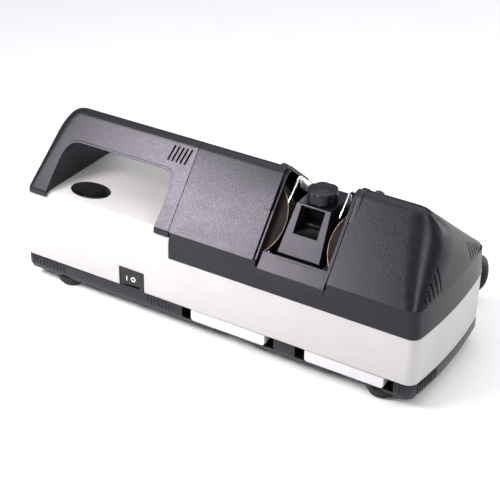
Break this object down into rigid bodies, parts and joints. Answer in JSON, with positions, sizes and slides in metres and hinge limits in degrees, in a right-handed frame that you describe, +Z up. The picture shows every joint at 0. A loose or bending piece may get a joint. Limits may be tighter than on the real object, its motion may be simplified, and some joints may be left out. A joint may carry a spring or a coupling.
{
  "type": "electric knife sharpener",
  "caption": "Bench electric knife sharpener with tilted abrasive wheels beside a central guide block, a carrying handle over the motor end, pull-out trays and a rocker switch.",
  "frame": {"origin": "centre of the machine's footprint on the table, cord left out", "axes": "X along the machine, handle end at -X; -Y is the front where blades are drawn out; Z up"},
  "size_m": [0.4297, 0.2649, 0.1685],
  "materials": {
    "black_abs": "fine-grained moulded black ABS, satin",
    "white_abs": "warm white moulded ABS, satin",
    "grey_abs": "pale grey moulded plastic",
    "gloss_black": "gloss black",
    "rubber": "matt black rubber",
    "chrome": "bright polished steel strip",
    "steel": "plain steel",
    "aluminium": "cast and turned aluminium",
    "abrasive": "bonded maroon abrasive, rough",
    "copper": "enamelled copper winding",
    "lamination": "stacked steel laminations",
    "cable": "black PVC flex"
  },
  "bodies": {
    "base": {"base_tray": "black_abs", "foot_front_left": "rubber", "foot_rear_left": "rubber", "foot_front_right": "rubber", "foot_rear_right": "rubber", "body_shell": "white_abs", "handle_cover": "black_abs", "centre_cover": "black_abs", "end_cover": "black_abs", "wheel_housing": "black_abs", "guide_block": "black_abs", "guide_strap_left": "chrome", "guide_strap_right": "chrome", "bearing_tube_left": "aluminium", "bearing_front_left": "steel", "bearing_rear_left": "steel", "bearing_tube_right": "aluminium", "bearing_front_right": "steel", "bearing_rear_right": "steel", "spindle_carrier": "aluminium", "motor_stator": "lamination", "motor_coil_front": "copper", "motor_cap_front": "aluminium", "motor_coil_rear": "copper", "motor_cap_rear": "aluminium", "motor_bracket": "steel", "drive_belt": "rubber", "switch_case": "black_abs", "oval_badge": "gloss_black", "capacitor": "grey_abs", "capacitor_clip": "steel", "terminal_block": "grey_abs", "cover_screw_left": "gloss_black", "cover_screw_right": "gloss_black", "cord_gland": "rubber", "power_cord": "cable", "cord_coil": "cable", "mains_plug": "rubber", "switch_lead": "copper", "motor_lead": "copper"},
    "rotor": {"motor_rotor": "lamination", "motor_shaft": "steel", "motor_pulley": "aluminium"},
    "wheel_left": {"abrasive_left": "abrasive", "hub_left": "aluminium", "spindle_left": "steel", "nut_left": "steel", "pulley_left": "aluminium"},
    "wheel_right": {"abrasive_right": "abrasive", "hub_right": "aluminium", "spindle_right": "steel", "nut_right": "steel", "pulley_right": "aluminium"},
    "knob": {"adjuster_knob": "black_abs", "adjuster_screw": "steel"},
    "rocker": {"power_rocker": "gloss_black"},
    "drawer_left": {"drawer_left": "grey_abs"},
    "drawer_right": {"drawer_right": "grey_abs"}
  },
  "joints": [
    {"name": "rotor_spin", "type": "hinge", "parent": "base", "child": "rotor", "pos_m": [-0.115, 0, 0.054], "axis": [0, -0.7738, 0.6334], "continuous": true},
    {"name": "wheel_left_spin", "type": "hinge", "parent": "base", "child": "wheel_left", "pos_m": [0.022, -0.04, 0.127], "axis": [0, -0.7738, 0.6334], "continuous": true},
    {"name": "wheel_right_spin", "type": "hinge", "parent": "base", "child": "wheel_right", "pos_m": [0.149, -0.04, 0.127], "axis": [0, -0.7738, 0.6334], "continuous": true},
    {"name": "knob_turn", "type": "hinge", "parent": "base", "child": "knob", "pos_m": [0.0865, -0.0165, 0.1483], "axis": [0, 0, 1], "range_deg": [-180, 540]},
    {"name": "rocker_tilt", "type": "hinge", "parent": "base", "child": "rocker", "pos_m": [-0.08725, -0.0655, 0.0355], "axis": [0, 0, 1], "range_deg": [0, 8]},
    {"name": "drawer_left_slide", "type": "slide", "parent": "base", "child": "drawer_left", "axis": [0, -1, 0], "range_m": [0, 0.075]},
    {"name": "drawer_right_slide", "type": "slide", "parent": "base", "child": "drawer_right", "axis": [0, -1, 0], "range_m": [0, 0.075]}
  ],
  "couplings": [
    {"joint": "rotor_spin", "follows": "wheel_left_spin", "ratio": 2},
    {"joint": "wheel_right_spin", "follows": "wheel_left_spin", "ratio": 1}
  ]
}
